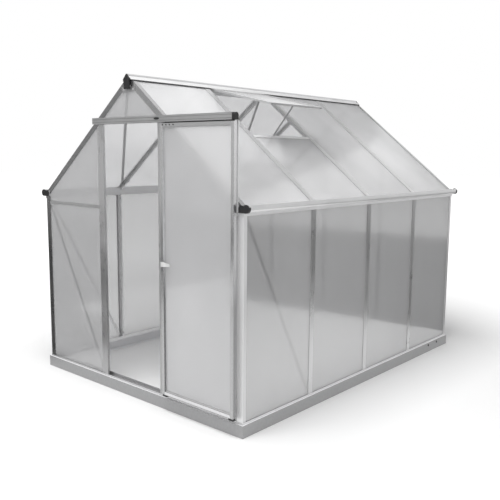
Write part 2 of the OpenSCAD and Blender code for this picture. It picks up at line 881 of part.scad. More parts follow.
// Door frame of reference: middle of the door, Y towards the front from its back
module on_door() {
    translate([(door_left + door_right) / 2, door_back, (door_top + door_bottom) / 2]) children();
}

// One side of the door frame: lower side before it is turned
module door_side(length, reach, tube, fin_length) {
    translate([0, 0, -reach]) rotate([90, 0, 0]) {
        run_x(length) door_tube(tube);
        run_x(fin_length) door_fins(tube);
    }
}

module door_stiles() {
    clear_height = door_height - 2 * rail_tube - 2 * fit;
    color("DarkGray") on_door() for (turn = [-90, 90]) rotate([0, turn, 0])
        door_side(door_height, door_width / 2, stile_tube, clear_height);
}

module door_rails() {
    span = door_width - 2 * stile_tube - 2 * fit;
    color("DarkGray") on_door() for (turn = [0, 180]) rotate([0, turn, 0])
        door_side(span, door_height / 2, rail_tube, span - 2 * door_groove - 2 * fit);
}

module door_panel() {
    wide = door_width - 2 * stile_tube - 2 * sheet_play;
    high = door_height - 2 * rail_tube - 2 * sheet_play;
    color("GhostWhite", 0.5) on_door() translate([-wide / 2, -door_depth / 2 - sheet / 2, -high / 2])
        cube([wide, sheet, high]);
}

// Lever that tapers towards the middle of the door, with a grip at the edge
module door_handle() {
    long = handle_length / 2;
    tip = handle_tip / 2;
    color("Gainsboro") translate([door_left + handle_inset, door_back - door_depth - fit,
        door_bottom + handle_height + long]) rotate([90, 0, 0]) {
        linear_extrude(handle_plate) polygon([[0, -long], [handle_grip, -long], [handle_width, -tip],
            [handle_width, tip], [handle_grip, long], [0, long]]);
        translate([0, -long, 0]) cube([handle_grip, handle_length, handle_reach]);
    }
}

// Hanger plate with an axle and two rollers that run on the lips of the track
module hanger() {
    axle = track_bottom + track_wall + fit + roller_radius;
    outer = track_slot + roller_gap + roller_width;
    translate([-hanger_width / 2, track_y - hanger_sheet / 2, door_top + fit])
        cube([hanger_width, hanger_sheet, axle + 2 * axle_radius - door_top - fit]);
    translate([0, track_y, axle]) rotate([90, 0, 0]) cylinder(2 * outer, r = axle_radius, center = true);
    for (side = [-1, 1]) translate([0, track_y + side * (outer - roller_width / 2), axle])
        rotate([90, 0, 0]) cylinder(roller_width, r = roller_radius, center = true);
}

module door_hangers() {
    color("DimGray") {
        translate([door_left + hanger_inset, 0, 0]) hanger();
        translate([door_right - hanger_inset, 0, 0]) hanger();
    }
}

module door_guides() {
    color("DimGray") for (x = [door_left, door_right - guide_length])
        translate([x, door_back - door_depth + bar_wall, door_bottom - fit - guide_height])
        cube([guide_length, door_depth - 2 * bar_wall, guide_height]);
}

base_ends();
base_sides();
sill_ends();
sill_sides();
corner_posts();
left_wall_studs();
right_wall_studs();
door_jambs();
rear_wall_studs();
gutters();
gutter_end_caps();
ridge_bar();
ridge_end_caps();
left_gable_rafters();
right_gable_rafters();
left_roof_rafters();
right_roof_rafters();
front_gable_bars();
rear_gable_bars();
gable_gussets();
door_header_rail();
header_end_cap();
header_support();
side_wall_braces();
front_wall_braces();
roof_braces();
left_wall_panels();
right_wall_panels();
front_wall_panels();
rear_wall_panels();
left_roof_panels();
right_roof_panels();
vent_sill_bar();
vent_frame();
vent_panel();
vent_stay();
door_stiles();
door_rails();
door_panel();
door_handle();
door_hangers();
door_guides();
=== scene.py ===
"""Greenhouse dressing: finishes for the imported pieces, small fasteners and trims, and a plain studio."""

import math

import bpy
import numpy as np
from mathutils import Matrix, Vector


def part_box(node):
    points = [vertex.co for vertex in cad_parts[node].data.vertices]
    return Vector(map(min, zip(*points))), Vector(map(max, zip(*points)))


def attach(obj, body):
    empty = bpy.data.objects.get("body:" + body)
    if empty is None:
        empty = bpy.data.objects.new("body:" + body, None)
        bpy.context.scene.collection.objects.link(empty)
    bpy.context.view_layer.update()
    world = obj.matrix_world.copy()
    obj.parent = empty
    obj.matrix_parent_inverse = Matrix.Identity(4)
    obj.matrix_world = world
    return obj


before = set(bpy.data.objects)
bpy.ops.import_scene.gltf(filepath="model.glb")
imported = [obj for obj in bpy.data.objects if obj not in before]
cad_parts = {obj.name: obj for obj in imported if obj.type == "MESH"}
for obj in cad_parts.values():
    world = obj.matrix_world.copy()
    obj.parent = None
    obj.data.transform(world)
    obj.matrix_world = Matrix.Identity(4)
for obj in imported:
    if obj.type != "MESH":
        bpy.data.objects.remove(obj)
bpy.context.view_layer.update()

bl_info = {
    "name": "Greenhouse dressing",
    "version": (1, 0, 0),
    "blender": (4, 5, 0),
    "location": "3D View > Sidebar > Greenhouse",
    "description": "Finishes, fasteners and a studio for a small greenhouse with a sliding door",
    "category": "Object",
}

# Bodies
STRUCTURE = "structure"
DOOR = "door"

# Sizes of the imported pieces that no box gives, in metres
BAR_HALF = 0.02
RIDGE_BEAD = 0.008
BASE_SHEET = 0.002

# Places and sizes of the fasteners, trims and black strips of painted shadow, in metres
STUD_BOLT_INSET = 0.045
RAFTER_BOLTS = (0.085, 1.02)
GUSSET_BOLT_OFFSET = 0.042
PLUG_X = 0.2937
PLUG_RISE = 0.0198
PLUG_RADIUS = 0.0065
HEADER_SHADE_BEHIND = 0.0056
HEADER_SHADE_DROP = 0.018
HEADER_SHADE_HEIGHT = 0.024
HEADER_SHADE_SHEET = 0.002
HANGER_SCREW_SPAN = (0.338, 0.424)
HANGER_SCREW_DROP = 0.0095
BASE_SCREW_ROWS = (0.914, 1.051)
BASE_SCREW_LEVEL = 0.05
BASE_SCREW_RADIUS = 0.009
RIDGE_SHADE_END_GAP = 0.004
RIDGE_SHADE_START = 0.0424
RIDGE_SHADE_LIFT = 0.0004
RIDGE_SHADE_WIDTH = 0.011
RIDGE_SHADE_TOP_WIDTH = 0.010
RIDGE_SHADE_SHEET = 0.002

# Stretch of the oval plug and number of screws on the door
PLUG_STRETCH = 3.6
HANGER_SCREW_COUNT = 4

# Profiles of a bolt as shares of its nut's radius: radius, then height
WASHER = ((1.35, 0.0), (1.35, 0.16), (1.2, 0.24))
NUT = ((1.0, 0.2), (1.0, 0.95), (0.84, 1.1))
SCREW_END = ((0.5, 1.0), (0.5, 1.55), (0.38, 1.7))

# Sides of turned solids and rows of a round head
ROUND_SIDES = 16
NUT_SIDES = 6
SCREW_SIDES = 10
DOME_ROWS = 6

# Round head: sweep as a share of a half turn, rise as a share of its radius
DOME_SWEEP = 0.46
DOME_RISE = 0.55

# Degrees past which an edge is sharp, and how near to Z a direction counts as upright
SHARP_ANGLE = 38
NEAR_UPRIGHT = 0.9

# Scales of the noise along X, Y and Z: lower along a bar's run, even on flat bars and fasteners
UPRIGHT = (500, 500, 3)
ACROSS = (3, 500, 500)
LENGTHWISE = (500, 3, 500)
SLOPING = (60, 500, 60)
FLAT_BAR = (120, 120, 120)
FASTENER = (300, 300, 300)


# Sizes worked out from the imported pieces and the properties

def corners(node):
    """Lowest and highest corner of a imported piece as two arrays."""
    low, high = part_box(node)
    return np.array(low), np.array(high)


def roof_slope(sizes):
    """Angle of the slopes from the level."""
    return math.atan2(sizes.roof_rise, sizes.half_width)


def apex_height():
    """Height at which the slopes meet, under the bead of the ridge bar."""
    return corners("ridge_bar")[1][2] - RIDGE_BEAD


# Surfaces

def lathe(profile, sides, centres, outs, stretch=1.0):
    """Turned solids, one per centre: the profile's radius and height swept round an outward direction,
    the radius along the first cross direction multiplied by stretch. Two parameters: row and angle."""
    centres, outs = np.atleast_2d(centres).astype(float), np.atleast_2d(outs).astype(float)
    outs = outs / np.linalg.norm(outs, axis=1, keepdims=True)
    helper = np.where(np.abs(outs[:, 2:]) < NEAR_UPRIGHT, [0.0, 0.0, 1.0], [1.0, 0.0, 0.0])
    side = np.cross(outs, helper)
    side /= np.linalg.norm(side, axis=1, keepdims=True)
    other = np.cross(outs, side)
    angle = (np.arange(sides) + 0.5) * 2 * np.pi / sides
    circle = stretch * np.cos(angle)[:, None] * side[:, None] + np.sin(angle)[:, None] * other[:, None]
    radius, height = np.array(profile, float).T
    return (centres[:, None, None] + radius[:, None, None] * circle[:, None]
            + height[:, None, None] * outs[:, None, None])


def strip(path, section):
    """Straight strips: the corners of a section, given as offsets, carried along each row of a path."""
    return np.asarray(path, float)[:, :, None] + np.asarray(section, float)[None, None]


def add_piece(name, solids, material, body):
    """Puts stacks of rings in as one piece: rings joined by four-sided faces, flat faces on both ends."""
    points, faces, start = [], [], 0
    for rings in solids:
        count, rows, sides = rings.shape[:3]
        at = np.arange(count * rows * sides).reshape(count, rows, sides) + start
        after = np.roll(at, -1, 2)
        quads = np.stack([at[:, :-1], after[:, :-1], after[:, 1:], at[:, 1:]], -1).reshape(-1, 4)
        faces += quads.tolist() + at[:, 0, ::-1].tolist() + at[:, -1].tolist()
        points.append(rings.reshape(-1, 3))
        start += count * rows * sides
    mesh = bpy.data.meshes.new(name)
    mesh.from_pydata(np.concatenate(points).tolist(), [], faces)
    mesh.shade_smooth()
    mesh.set_sharp_from_angle(angle=math.radians(SHARP_ANGLE))
    mesh.materials.append(material)
    piece = bpy.data.objects.new(name, mesh)
    bpy.context.scene.collection.objects.link(piece)
    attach(piece, body)


def bolt(radius, centres, outs):
    """Washer, six-sided nut and screw end: turned profiles times the radius across the nut's corners."""
    parts = ((WASHER, ROUND_SIDES), (NUT, NUT_SIDES), (SCREW_END, SCREW_SIDES))
    return [lathe(radius * np.array(profile), sides, centres, outs) for profile, sides in parts]


def dome(radius, centres, outs, stretch=1.0):
    """Low round head: the radius falls along nearly a quarter of an ellipse to a small flat top."""
    angle = np.linspace(0.0, DOME_SWEEP * np.pi, DOME_ROWS)
    profile = np.stack([radius * np.cos(angle), DOME_RISE * radius * np.sin(angle)], 1)
    return [lathe(profile, ROUND_SIDES, centres, outs, stretch)]


# Shader maths

class Wire:
    """A number that changes over a surface; arithmetic on it adds Math nodes."""

    def __init__(self, tree, socket):
        self.tree = tree
        self.socket = socket

    def math(self, operation, first, second=0.0):
        node = self.tree.nodes.new("ShaderNodeMath")
        node.operation = operation
        for socket, value in zip(node.inputs, (first, second)):
            plug(self.tree, socket, value)
        return Wire(self.tree, node.outputs[0])

    def __add__(self, other):
        return self.math("ADD", self, other)

    def __sub__(self, other):
        return self.math("SUBTRACT", self, other)

    def __rsub__(self, other):
        return self.math("SUBTRACT", other, self)

    def __mul__(self, other):
        return self.math("MULTIPLY", self, other)

    def __truediv__(self, other):
        return self.math("DIVIDE", self, other)

    def sine(self):
        return self.math("SINE", self)

    def size(self):
        return self.math("ABSOLUTE", self)

    def at_least(self, other):
        return self.math("MAXIMUM", self, other)

    def at_most(self, other):
        return self.math("MINIMUM", self, other)

    def clamped(self):
        """Kept from nothing to one."""
        return self.at_least(0.0).at_most(1.0)


def plug(tree, socket, value):
    """Links a wire or an output to a socket, or sets the socket to a plain value."""
    if isinstance(value, Wire):
        tree.links.new(value.socket, socket)
    elif isinstance(value, bpy.types.NodeSocket):
        tree.links.new(value, socket)
    else:
        socket.default_value = value


# Noise: its own roughness and the middle of its range
NOISE_ROUGHNESS = 0.55
NOISE_MIDDLE = 0.5


class Nodes:
    """A node tree that starts empty and is built node by node."""

    def __init__(self, tree):
        self.tree = tree
        self.tree.nodes.clear()

    def node(self, kind, settings=None, sockets=None):
        """Adds a node of a type, sets its settings first and then its sockets."""
        node = self.tree.nodes.new(kind)
        for key, value in (settings or {}).items():
            setattr(node, key, value)
        for key, value in (sockets or {}).items():
            plug(self.tree, node.inputs[key], value)
        return node

    def wire(self, socket):
        return Wire(self.tree, socket)


class Finish(Nodes):
    """A material with one Principled shader."""

    def __init__(self, name, **constants):
        self.material = bpy.data.materials.new(name)
        self.material.use_nodes = True
        super().__init__(self.material.node_tree)
        self.shader = self.node("ShaderNodeBsdfPrincipled")
        self.output = self.node("ShaderNodeOutputMaterial")
        self.show(self.shader)
        for key, value in constants.items():
            self.feed(**{key.replace("_", " ").title().replace("Ior", "IOR"): value})

    def show(self, shader):
        """Makes a shader the surface."""
        plug(self.tree, self.output.inputs["Surface"], shader.outputs[0])

    def feed(self, **values):
        """Sets or links inputs of the Principled shader."""
        for key, value in values.items():
            plug(self.tree, self.shader.inputs[key], value)

    def place(self, scale=(1, 1, 1)):
        """Object coordinates, stretched."""
        source = self.node("ShaderNodeTexCoord").outputs["Object"]
        mapping = self.node("ShaderNodeMapping", None, {"Vector": source, "Scale": scale})
        return mapping.outputs["Vector"]

    def along(self, axis):
        """One object coordinate in metres."""
        source = self.node("ShaderNodeTexCoord").outputs["Object"]
        split = self.node("ShaderNodeSeparateXYZ", None, {"Vector": source})
        return self.wire(split.outputs[axis])

    def noise(self, vector, scale, detail):
        node = self.node("ShaderNodeTexNoise", None,
                         {"Vector": vector, "Scale": scale, "Detail": detail, "Roughness": NOISE_ROUGHNESS})
        return self.wire(node.outputs["Fac"])

    def mix(self, factor, first, second):
        """Colour between two colours."""
        node = self.node("ShaderNodeMix", {"data_type": "RGBA"}, {"Factor": factor, 6: first, 7: second})
        return node.outputs[2]

    def bump(self, height, strength, distance):
        node = self.node("ShaderNodeBump", None,
                         {"Height": height, "Strength": strength, "Distance": distance})
        self.feed(Normal=node.outputs["Normal"])


def shade(colour, factor):
    """The colour made lighter or darker, opaque."""
    return tuple(min(1.0, part * factor) for part in colour[:3]) + (1.0,)


# Mill finish: specular level, what lines and cloud do to tone and roughness, shades, relief in metres
METAL_SPECULAR = 0.5
LINE_SHARE = 0.55
CLOUD_SHARE = 0.45
TONE_SPREAD = 1.6
LINE_ROUGHNESS = 0.12
CLOUD_ROUGHNESS = 0.22
MILL_DARK = 0.86
MILL_LIGHT = 1.12
MILL_RELIEF = 0.0006

# Masks for painted shade and light: height and fade of an upright's foot in metres, sharpness of an edge per
# metre, the two sides
FOOT_TOP = 0.95
FOOT_FADE = 0.25
SIDE_SHARPNESS = 50.0
FACE_SHARPNESS = 1000.0
LEFT = -1.0
RIGHT = 1.0


def near_foot(finish):
    """One low on an upright, fading to nothing at the top of its foot; it places painted shade, and on some
    bars painted light.
    """
    return ((FOOT_TOP - finish.along("Z")) / FOOT_FADE).clamped()


def on_side(finish, side):
    """One on a side of the middle, nothing on the other; it places painted shade by side."""
    return (finish.along("X") * (side * SIDE_SHARPNESS)).clamped()


def mill_noise(finish, stretch):
    """Fine lines along a run and a soft cloud."""
    lines = finish.noise(finish.place(stretch), scale=1.0, detail=2.0)
    cloud = finish.noise(finish.place(), scale=5.0, detail=4.0)
    return lines, cloud


def mill_tone(lines, cloud, spread=TONE_SPREAD, middle=NOISE_MIDDLE):
    """Tone that lines and cloud make together, spread about a middle."""
    return (lines * LINE_SHARE + cloud * CLOUD_SHARE - NOISE_MIDDLE) * spread + middle


def mill_colour(finish, lines, cloud, colour):
    """Colour between the darkest and the lightest shade of a mill finish."""
    return finish.mix(mill_tone(lines, cloud), shade(colour, MILL_DARK), shade(colour, MILL_LIGHT))


def mill_roughness(lines, cloud, roughness):
    """Roughness that follows the cloud and, less, the lines."""
    return (cloud - NOISE_MIDDLE) * CLOUD_ROUGHNESS + (lines - NOISE_MIDDLE) * LINE_ROUGHNESS + roughness


def extruded_metal(name, colour, stretch, roughness, shine=0.75, foot=None, right=None):
    """Mill-finish bar: lines along the run, a soft cloud, and, where given, painted shade at the foot and on
    the right.
    """
    finish = Finish(name, metallic=shine, specular_ior_level=METAL_SPECULAR)
    lines, cloud = mill_noise(finish, stretch)
    base = mill_colour(finish, lines, cloud, colour)
    # Painted shade low on the bar, painted light where the factor is above one
    if foot is not None:
        base = finish.mix(near_foot(finish), base, shade(colour, foot))
    # Painted shade on the pieces right of the middle
    if right is not None:
        base = finish.mix(on_side(finish, RIGHT), base, shade(colour, right))
    finish.feed(**{"Base Color": base, "Roughness": mill_roughness(lines, cloud, roughness)})
    finish.bump(lines, strength=0.12, distance=MILL_RELIEF)
    return finish.material


# Corner posts: depth of the front face in metres and its shade of painted light, and how shine and roughness
# differ by face
FRONT_DEPTH = 0.003
FRONT_SHADE = 1.0
POST_SHINE = 0.45
FRONT_SHINE_LOSS = 0.2
LEFT_SHINE_GAIN = 0.45
LEFT_ROUGHNESS_LOSS = 0.12


def post_metal(name, colour, roughness, foot, left_painted_shade):
    """Mill-finish corner posts: bright on the right, plain and paler in front by painted light, darker at the
    foot and on the left by painted shade, smoother on the left.
    """
    finish = Finish(name, specular_ior_level=METAL_SPECULAR)
    lines, cloud = mill_noise(finish, UPRIGHT)
    left = on_side(finish, LEFT)
    face = float(corners("corner_posts")[0][1]) + FRONT_DEPTH
    front = ((face - finish.along("Y")) * FACE_SHARPNESS).clamped() * (1.0 - left)
    base = mill_colour(finish, lines, cloud, colour)
    # Painted shade at the foot and on the left posts, painted light on the front faces of the right posts
    base = finish.mix(near_foot(finish), base, shade(colour, foot))
    base = finish.mix(front, base, shade(colour, FRONT_SHADE))
    finish.feed(**{"Base Color": finish.mix(left, base, shade(colour, left_painted_shade)),
                   "Roughness": mill_roughness(lines, cloud, roughness) - left * LEFT_ROUGHNESS_LOSS,
                   "Metallic": left * LEFT_SHINE_GAIN + POST_SHINE - front * FRONT_SHINE_LOSS})
    finish.bump(lines, strength=0.12, distance=MILL_RELIEF)
    return finish.material


# Track rail grooves: heights above the lower edge, fade and relief in metres, and what they do, with painted
# shade in them
GROOVE_RISES = (0.009, 0.026)
GROOVE_FADE = 0.0022
GROOVE_PAINTED_SHADE = 0.9
GROOVE_ROUGHNESS = 0.2
GROOVE_RELIEF = 0.002

# Track rail: its own roughness, tone and shades, and the share of the lines in its relief
RAIL_ROUGHNESS = 0.36
RAIL_SPREAD = 1.4
RAIL_MIDDLE = 0.6
RAIL_DARK = 0.5
RAIL_LIGHT = 1.15
RAIL_LINE_SHARE = 0.1


def header_metal(colour):
    """Mill-finish track rail: rolled grooves in relief with painted shade, deepest at set heights and gone
    within a short fade.
    """
    finish = Finish("header", metallic=0.5, specular_ior_level=METAL_SPECULAR)
    lines, cloud = mill_noise(finish, ACROSS)
    level = finish.along("Z")
    bottom = float(corners("door_header_rail")[0][2])
    groove = 0.0
    for rise in GROOVE_RISES:
        groove = (1.0 - (level - (bottom + rise)).size() / GROOVE_FADE).at_least(0.0) + groove
    # Painted shade: the grooves darken the colour
    tone = (mill_tone(lines, cloud, RAIL_SPREAD, RAIL_MIDDLE) - groove * GROOVE_PAINTED_SHADE).at_least(0.0)
    roughness = (cloud - NOISE_MIDDLE) * CLOUD_ROUGHNESS + groove * GROOVE_ROUGHNESS + RAIL_ROUGHNESS
    finish.feed(**{"Base Color": finish.mix(tone, shade(colour, RAIL_DARK), shade(colour, RAIL_LIGHT)),
                   "Roughness": roughness})
    finish.bump(lines * RAIL_LINE_SHARE - groove, strength=0.4, distance=GROOVE_RELIEF)
    return finish.material


# Base channel: crystals and cloud in its coat, shades, shine outside, and painted light on the shaded inner
# faces
CRYSTAL_SCALE = 70.0
CRYSTAL_SHARE = 0.5
COAT_CLOUD_SHARE = 0.75
COAT_SHIFT = 0.1
COAT_DARK = 0.88
COAT_LIGHT = 1.1
COAT_ROUGHNESS = 0.38
COAT_ROUGHNESS_SPREAD = 0.2
BASE_SHINE = 0.35
INSIDE_PAINTED_LIGHT = 2.6


def folded_sheet(name, colour):
    """Coated steel base channel: faint crystals and a soft cloud; its inner faces are paler and plain by
    painted light where they lie in shade.
    """
    finish = Finish(name)
    crystals = finish.node("ShaderNodeTexVoronoi", {"feature": "F1"},
                           {"Vector": finish.place(), "Scale": CRYSTAL_SCALE})
    spread = finish.wire(crystals.outputs["Distance"])
    cloud = finish.noise(finish.place(), scale=3.0, detail=4.0)
    tone = spread * CRYSTAL_SHARE + cloud * COAT_CLOUD_SHARE - COAT_SHIFT
    outer = corners("base_sides")[1] - 0.5 * BASE_SHEET
    inside = 1.0
    for axis, half in (("X", outer[0]), ("Y", outer[1])):
        inside = ((float(half) - finish.along(axis).size()) * FACE_SHARPNESS).clamped() * inside
    coat = finish.mix(tone, shade(colour, COAT_DARK), shade(colour, COAT_LIGHT))
    # Painted light: the inner faces are paler and not metallic
    finish.feed(**{"Base Color": finish.mix(inside, coat, shade(colour, INSIDE_PAINTED_LIGHT)),
                   "Roughness": cloud * COAT_ROUGHNESS_SPREAD + COAT_ROUGHNESS,
                   "Metallic": BASE_SHINE - inside * BASE_SHINE})
    finish.bump(finish.noise(finish.place(), scale=240.0, detail=2.0), strength=0.08, distance=0.0005)
    return finish.material


# Clear sheets: index of refraction, cover of a plain and a dense one, share and shade of what glows through
SHEET_IOR = 1.6
SHEET_ALPHA = 0.36
DENSE_ALPHA = 0.62
SHEET_SHARE = 0.25
SHEET_GLOW = 1.1

# Clear sheets: what ribs and cloud do to tone, cover and roughness
CLOUD_STRETCH = (1, 1, 0.7)
CLOUD_CONTRAST = 2.6
SOFT_SHARE = 0.9
RIB_SHARE = 0.1
CLOUD_ALPHA = 0.1
RIB_ALPHA = 0.06
SHEET_ROUGHNESS = 0.18
SHEET_ROUGHNESS_SPREAD = 0.1


def clear_sheet(name, tint, axis, pitch, gloss, cloudy, alpha=SHEET_ALPHA):
    """Twin-wall sheet: milky, part see-through, glossy, fine ribs along its flutes, light glowing through."""
    finish = Finish(name, ior=SHEET_IOR, coat_weight=1.0, coat_roughness=0.1, coat_ior=gloss)
    ribs = (finish.along(axis) * (2 * math.pi / pitch)).sine() * 0.5 + 0.5
    cloud = finish.noise(finish.place(CLOUD_STRETCH), scale=1.6, detail=2.0)
    soft = ((cloud - NOISE_MIDDLE) * CLOUD_CONTRAST + NOISE_MIDDLE).clamped()
    tone = soft * SOFT_SHARE + ribs * RIB_SHARE
    finish.feed(**{"Base Color": finish.mix(tone, shade(tint, 1 - cloudy), shade(tint, 1 + cloudy)),
                   "Roughness": cloud * SHEET_ROUGHNESS_SPREAD + SHEET_ROUGHNESS,
                   "Alpha": (cloud - NOISE_MIDDLE) * CLOUD_ALPHA + ribs * RIB_ALPHA + alpha})
    finish.bump(ribs, strength=0.1, distance=0.0003)
    glow = finish.node("ShaderNodeBsdfTranslucent", None, {"Color": shade(tint, SHEET_GLOW)})
    finish.show(finish.node("ShaderNodeMixShader", None,
                            {0: SHEET_SHARE, 1: finish.shader.outputs[0], 2: glow.outputs[0]}))
    return finish.material


# Mouldings: darkest and lightest shade, and what the grain does to roughness
MOULDING_DARK = 0.8
MOULDING_LIGHT = 1.3
GRAIN_ROUGHNESS = 0.25


def moulded_plastic(name, colour, roughness):
    """Moulded plastic: fine grain and a soft cloud of shades."""
    finish = Finish(name, specular_ior_level=0.4)
    grain = finish.noise(finish.place(), scale=900.0, detail=2.0)
    cloud = finish.noise(finish.place(), scale=30.0, detail=3.0)
    dark, light = shade(colour, MOULDING_DARK), shade(colour, MOULDING_LIGHT)
    finish.feed(**{"Base Color": finish.mix(cloud, dark, light),
                   "Roughness": (grain - NOISE_MIDDLE) * GRAIN_ROUGHNESS + roughness})
    finish.bump(grain, strength=0.2, distance=0.0003)
    return finish.material


def dress(nodes, material):
    """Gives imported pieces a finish."""
    for name in nodes:
        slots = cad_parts[name].data.materials
        slots.clear()
        slots.append(material)


# Properties

class GreenhouseColours(bpy.types.PropertyGroup):
    """Colours of the finishes."""
    bar: bpy.props.FloatVectorProperty(
        name="Bars", description="Mill finish of the other bars", subtype="COLOR", size=4, min=0, max=1,
        default=(0.60, 0.60, 0.605, 1.0))
    # Painted light: a lighter copy of the mill finish of the other bars
    bright_bar: bpy.props.FloatVectorProperty(
        name="Bright bars", subtype="COLOR", size=4, min=0, max=1, default=(0.78, 0.78, 0.785, 1.0),
        description="Posts, gutters, ridge, rafters, side sills, vent bars and front brace")
    base: bpy.props.FloatVectorProperty(
        name="Base", description="Coated base channel", subtype="COLOR", size=4, min=0, max=1,
        default=(0.35, 0.35, 0.355, 1.0))
    sheet: bpy.props.FloatVectorProperty(
        name="Sheets", description="Milky tint of the clear sheets", subtype="COLOR", size=4, min=0, max=1,
        default=(0.60, 0.60, 0.605, 1.0))
    plastic: bpy.props.FloatVectorProperty(
        name="Caps", description="Black moulded caps and rollers", subtype="COLOR", size=4, min=0, max=1,
        default=(0.018, 0.018, 0.019, 1.0))
    handle: bpy.props.FloatVectorProperty(
        name="Handle", description="Pale door handle", subtype="COLOR", size=4, min=0, max=1,
        default=(0.72, 0.72, 0.72, 1.0))
    floor: bpy.props.FloatVectorProperty(
        name="Floor", description="Studio floor", subtype="COLOR", size=4, min=0, max=1,
        default=(0.90, 0.90, 0.90, 1.0))


class GreenhouseSizes(bpy.types.PropertyGroup):
    """Sizes that the sheets, fasteners and the black ridge strips of painted shadow follow."""
    flute: bpy.props.FloatProperty(
        name="Flute pitch", description="Distance between the ribs in a sheet", unit="LENGTH",
        default=0.006, min=0.002, max=0.02)
    half_width: bpy.props.FloatProperty(
        name="Half width", description="Middle to the face of a side wall", unit="LENGTH", default=0.9077)
    roof_rise: bpy.props.FloatProperty(
        name="Roof rise", description="Eave to the meeting of the slopes", unit="LENGTH", default=0.716)
    bar_depth: bpy.props.FloatProperty(
        name="Bar depth", description="Face of a glazing bar to its inner foot", unit="LENGTH", default=0.028)
    brace_end: bpy.props.FloatProperty(
        name="Brace end", description="End of a brace to its bolt", unit="LENGTH", default=0.009)
    brace_sheet: bpy.props.FloatProperty(
        name="Brace thickness", description="Thickness of a flat brace", unit="LENGTH", default=0.002)
    nut: bpy.props.FloatProperty(
        name="Nut", description="Radius of a nut across its corners", unit="LENGTH", default=0.0065)
    head: bpy.props.FloatProperty(
        name="Head", description="Radius of a round screw head", unit="LENGTH", default=0.0045)


class GREENHOUSE_OT_bars(bpy.types.Operator):
    """Finish the bars, rails and flat braces"""
    bl_idname = "greenhouse.bars"
    bl_label = "Bars"

    def execute(self, context):
        colour = context.scene.greenhouse_colours.bar
        bright = context.scene.greenhouse_colours.bright_bar
        # Painted shade at the foot and on the left posts, painted light on the front faces of the right posts
        dress(["corner_posts", "header_support"],
              post_metal("posts", bright, roughness=0.4, foot=0.78, left_painted_shade=0.4))
        # Painted light: the left wall's studs take a lighter copy of the bar colour
        dress(["left_wall_studs"],
              extruded_metal("bars_left", shade(colour, 1.25), UPRIGHT, roughness=0.3, shine=0.5, foot=0.95))
        # Painted shade above and painted light at the foot of the right wall's studs
        dress(["right_wall_studs"],
              extruded_metal("bars_right", shade(colour, 0.6), UPRIGHT, roughness=0.3, shine=0.65, foot=1.5))
        # Painted shade towards the foot of the door jambs and rear studs
        dress(["door_jambs", "rear_wall_studs"],
              extruded_metal("bars_upright", colour, UPRIGHT, roughness=0.3, shine=0.65, foot=0.55))
        # Painted light on the door stiles, with painted shade towards the foot
        door_colour = shade(colour, 1.15)
        dress(["door_stiles"],
              extruded_metal("bars_door", door_colour, UPRIGHT, roughness=0.22, shine=0.85, foot=0.52))
        dress(["sill_ends", "front_gable_bars", "rear_gable_bars", "door_rails"],
              extruded_metal("bars_across", colour, ACROSS, roughness=0.36))
        dress(["door_header_rail"], header_metal(shade(colour, 0.8)))
        # Painted light: sills, gutters, ridge and vent sill take the lit copy of the bar colour
        dress(["sill_sides", "gutters", "ridge_bar", "vent_sill_bar"],
              extruded_metal("bars_lengthwise", bright, LENGTHWISE, roughness=0.4, shine=0.5))
        # Painted shade: the gable rafters take darker copies, darkest on the left
        dress(["left_gable_rafters"],
              extruded_metal("bars_verge_left", shade(bright, 0.42), SLOPING, roughness=0.2, shine=0.9))
        dress(["right_gable_rafters"],
              extruded_metal("bars_verge_right", shade(bright, 0.6), SLOPING, roughness=0.25, shine=0.85))
        # Painted light: roof rafters and vent frame take a copy of the lit bar colour
        dress(["left_roof_rafters", "right_roof_rafters", "vent_frame"],
              extruded_metal("bars_roof", shade(bright, 0.8), SLOPING, roughness=0.36))
        # Painted light on the left wall's brace and painted shade on the right one
        dress(["side_wall_braces"],
              extruded_metal("flat_bars_side", shade(colour, 1.1), FLAT_BAR, roughness=0.42, right=0.23))
        dress(["roof_braces", "gable_gussets", "vent_stay"],
              extruded_metal("flat_bars", shade(colour, 0.7), FLAT_BAR, roughness=0.42))
        # Painted shade: the front brace is a dark copy, with painted light at its foot
        front_colour = shade(bright, 0.3)
        dress(["front_wall_braces"],
              extruded_metal("flat_bar_front", front_colour, FLAT_BAR, roughness=0.5, shine=0.1, foot=1.5))
        return {"FINISHED"}


class GREENHOUSE_OT_base(bpy.types.Operator):
    """Finish the folded base channel"""
    bl_idname = "greenhouse.base"
    bl_label = "Base channel"

    def execute(self, context):
        colour = context.scene.greenhouse_colours.base
        dress(["base_ends", "base_sides"], folded_sheet("base_coating", colour))
        return {"FINISHED"}


class GREENHOUSE_OT_sheets(bpy.types.Operator):
    """Finish the clear sheets"""
    bl_idname = "greenhouse.sheets"
    bl_label = "Clear sheets"

    def execute(self, context):
        tint = context.scene.greenhouse_colours.sheet
        pitch = context.scene.greenhouse_sizes.flute
        # Painted light: the sheets take lighter copies of one tint, the most on the door and the roof
        side_tint, roof_tint = shade(tint, 1.06), shade(tint, 1.3)
        dress(["front_wall_panels", "rear_wall_panels"],
              clear_sheet("sheets_gable", shade(tint, 1.12), "X", pitch, gloss=2.2, cloudy=0.06))
        dress(["door_panel"],
              clear_sheet("sheet_door", shade(tint, 1.4), "X", pitch, gloss=2.2, cloudy=0.05))
        dress(["left_wall_panels"],
              clear_sheet("sheets_left", side_tint, "Y", pitch, gloss=3.2, cloudy=0.06))
        dress(["right_wall_panels"],
              clear_sheet("sheets_right", side_tint, "Y", pitch, gloss=3.2, cloudy=0.06, alpha=DENSE_ALPHA))
        dress(["left_roof_panels", "right_roof_panels", "vent_panel"],
              clear_sheet("sheets_roof", roof_tint, "Y", pitch, gloss=3.0, cloudy=0.2, alpha=DENSE_ALPHA))
        return {"FINISHED"}


